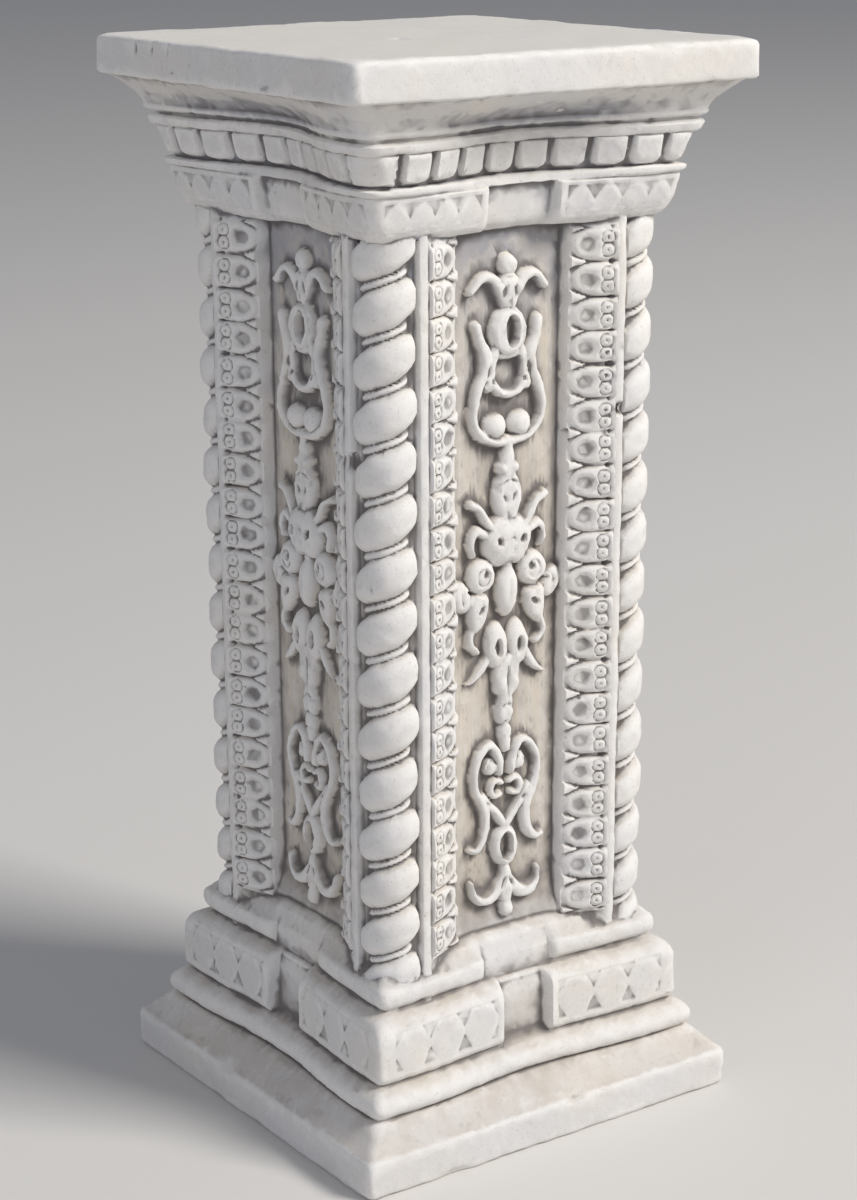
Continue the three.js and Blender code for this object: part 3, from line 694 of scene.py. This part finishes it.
def stone_colour(tree, place):
    """Off-white, with sandy panel grounds and ledges, painted shade in the wide hollows that is
    brown-grey low down and blue-grey in the capital, where it is partly patina and partly painted bluish
    reflection, painted dark shade in the fine creases, paler raised edges and a few specks."""
    near = attribute(tree, "hollow_near")
    far = attribute(tree, "hollow_far")
    geometry = tree.nodes.new("ShaderNodeNewGeometry")
    facing = tree.nodes.new("ShaderNodeSeparateXYZ")
    tree.links.new(geometry.outputs["Normal"], facing.inputs[0])
    height = tree.nodes.new("ShaderNodeSeparateXYZ")
    tree.links.new(place, height.inputs[0])
    stretch = tree.nodes.new("ShaderNodeMapping")
    stretch.inputs["Scale"].default_value = (1, 1, 0.04)
    tree.links.new(place, stretch.inputs["Vector"])

    patches = ramp(tree, noise(tree, place, 9.0), (0.40, 0.0), (0.62, 1.0))
    colour = mix(tree, patches, PALE_COOL, PALE_WARM)

    up = ramp(tree, facing.outputs["Z"], (0.30, 0.0), (0.92, 1.0))
    sand = maths(tree, "MULTIPLY", up, ramp(tree, noise(tree, place, 45.0), (0.3, 0.45), (0.7, 1.0)))
    cool = ramp(tree, height.outputs["Z"], (0.45, 0.0), (0.66, 1.0))
    dust = mix(tree, cool, DUST_LOW, DUST_HIGH)
    colour = mix(tree, maths(tree, "MULTIPLY", sand, 0.75), colour, dust)

    streaks = ramp(tree, noise(tree, stretch.outputs[0], 150.0, 3.0), (0.35, 0.45), (0.65, 1.0))
    ground = maths(tree, "MULTIPLY", attribute(tree, "ground"), streaks)
    colour = mix(tree, ground, colour, PANEL_SAND)

    # Painted shade: the wide hollows are darkened, brown-grey low down and blue-grey in the capital,
    # where it is partly patina and partly a painted bluish reflection
    hollow_shade_colour = mix(tree, cool, HOLLOW_SHADE_LOW, HOLLOW_SHADE_AND_PATINA_HIGH)
    hollow_shade = maths(tree, "MULTIPLY", ramp(tree, far, (0.10, 0.0), (0.75, 1.0)),
                 ramp(tree, noise(tree, place, 24.0), (0.25, 0.6), (0.65, 1.0)))
    colour = mix(tree, maths(tree, "MULTIPLY", hollow_shade, 0.8), colour, hollow_shade_colour)

    # Painted shade: the fine creases and drilled holes are darkened where shade falls in them
    line = ramp(tree, near, (0.14, 0.0), (0.85, 1.0))
    colour = mix(tree, maths(tree, "MULTIPLY", line, 0.85), colour, CREASE_SHADE_DARK)

    # Paler on raised edges and crests
    raised_pale = ramp(tree, maths(tree, "MULTIPLY", near, -1.0), (0.1, 0.0), (0.8, 1.0))
    colour = mix(tree, maths(tree, "MULTIPLY", raised_pale, 0.6), colour, RAISED_PALE)

    speck = ramp(tree, noise(tree, place, 420.0, 2.0), (0.30, 0.0), (0.40, 1.0))
    return mix(tree, speck, mix(tree, 0.2, colour, SPECK_BROWN), colour)


def stone_bump(tree, place):
    """The grain, the lumps and scattered pores of the casting's skin."""
    grain = noise(tree, place, 900.0, 5.0, 0.7)
    lumps = noise(tree, place, 140.0, 4.0)
    pores = tree.nodes.new("ShaderNodeTexVoronoi")
    pores.inputs["Scale"].default_value = 170.0
    tree.links.new(place, pores.inputs["Vector"])
    pits = ramp(tree, pores.outputs["Distance"], (0.05, 0.0), (0.16, 1.0))
    without = ramp(tree, noise(tree, place, 50.0, 1.0), (0.52, 1.0), (0.60, 0.0))
    pits = maths(tree, "MAXIMUM", pits, without)
    rough = maths(tree, "ADD", maths(tree, "MULTIPLY", grain, 0.35), maths(tree, "MULTIPLY", lumps, 0.8))
    rough = maths(tree, "ADD", rough, maths(tree, "MULTIPLY", pits, 0.4))
    bump = tree.nodes.new("ShaderNodeBump")
    bump.inputs["Strength"].default_value = 0.55
    bump.inputs["Distance"].default_value = 0.0009
    tree.links.new(rough, bump.inputs["Height"])
    return bump.outputs[0]


def stone_material():
    material = bpy.data.materials.new("cast_stone")
    material.use_nodes = True
    tree = material.node_tree
    shader = tree.nodes["Principled BSDF"]
    place = tree.nodes.new("ShaderNodeTexCoord").outputs["Object"]
    tree.links.new(stone_colour(tree, place), shader.inputs["Base Color"])
    tree.links.new(stone_bump(tree, place), shader.inputs["Normal"])
    shader.inputs["Roughness"].default_value = 0.88
    shader.inputs["Specular IOR Level"].default_value = 0.3
    return material


def plain_material(name, colour, roughness):
    material = bpy.data.materials.new(name)
    material.use_nodes = True
    shader = material.node_tree.nodes["Principled BSDF"]
    shader.inputs["Base Color"].default_value = (*colour, 1)
    shader.inputs["Roughness"].default_value = roughness
    shader.inputs["Specular IOR Level"].default_value = 0.2
    return material


def placed(axes, place):
    """The matrix that turns x, y and z to those axes and moves the middle to that place."""
    rows = np.stack(axes, axis=1)
    return Matrix([[*row, p] for row, p in zip(rows, place)] + [[0, 0, 0, 1]])


def area_light(name, place, size, power, colour):
    """A square lamp that faces the middle of the pillar."""
    data = bpy.data.lights.new(name, "AREA")
    data.size = size
    data.energy = power
    data.color = colour
    lamp = bpy.data.objects.new(name, data)
    bpy.context.collection.objects.link(lamp)
    way = np.array(place) - [0, 0, 0.4]
    z = way / np.linalg.norm(way)
    x = np.cross([0, 0, 1.0], z)
    x /= np.linalg.norm(x)
    lamp.matrix_world = placed([x, np.cross(z, x), z], place)


def build():
    """The fine pillar, which stands in for the solid."""
    mesh = thinned(pillar_mesh())
    mesh.shade_smooth()
    mesh.set_sharp_from_angle(angle=math.radians(48))
    store_hollows(mesh)
    store_ground(mesh)
    mesh.materials.clear()
    mesh.materials.append(stone_material())
    pillar = bpy.data.objects.new("pillar_carved", mesh)
    bpy.context.collection.objects.link(pillar)
    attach(pillar, "root")
    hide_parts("pillar")


def studio():
    """A plain pale floor, a dim sky, a soft lamp on the right side and a weak one on the left."""
    floor_mesh = bpy.data.meshes.new("floor")
    reach = FLOOR_REACH_M
    corners = [(-reach, -reach, 0), (reach, -reach, 0), (reach, reach, 0), (-reach, reach, 0)]
    floor_mesh.from_pydata(corners, [], [(0, 1, 2, 3)])
    floor = bpy.data.objects.new("floor", floor_mesh)
    floor_mesh.materials.append(plain_material("floor", (0.70, 0.68, 0.65), 0.9))
    bpy.context.collection.objects.link(floor)

    world = bpy.data.worlds.new("studio")
    bpy.context.scene.world = world
    world.use_nodes = True
    back = world.node_tree.nodes["Background"]
    back.inputs["Color"].default_value = (0.76, 0.80, 0.90, 1)
    back.inputs["Strength"].default_value = 0.32
    area_light("key", (3.6, -5.6, 6.4), 3.0, 740, (1.0, 0.975, 0.94))
    area_light("fill", (-5.0, -2.2, 2.6), 3.6, 50, (0.84, 0.88, 1.0))
    bpy.context.scene.view_settings.view_transform = "Standard"


def camera():
    """The photograph's place and angle."""
    yaw, pitch, roll = math.radians(YAW), math.radians(PITCH), math.radians(ROLL)
    level = math.cos(pitch)
    ahead = np.array([math.sin(yaw) * level, math.cos(yaw) * level, -math.sin(pitch)])
    right = np.array([math.cos(yaw), -math.sin(yaw), 0.0])
    up = np.cross(right, ahead)
    right, up = (math.cos(roll) * right + math.sin(roll) * up,
                 math.cos(roll) * up - math.sin(roll) * right)
    data = bpy.data.cameras.new("camera")
    data.sensor_width = SENSOR_MM
    data.lens = FOCAL_PIXELS / PHOTO_PIXELS * SENSOR_MM
    data.clip_start, data.clip_end = 0.05, 50
    eye = bpy.data.objects.new("camera", data)
    bpy.context.collection.objects.link(eye)
    eye.matrix_world = placed([right, up, -ahead], EYE)
    bpy.context.scene.camera = eye


build()
studio()
camera()
bpy.context.view_layer.update()
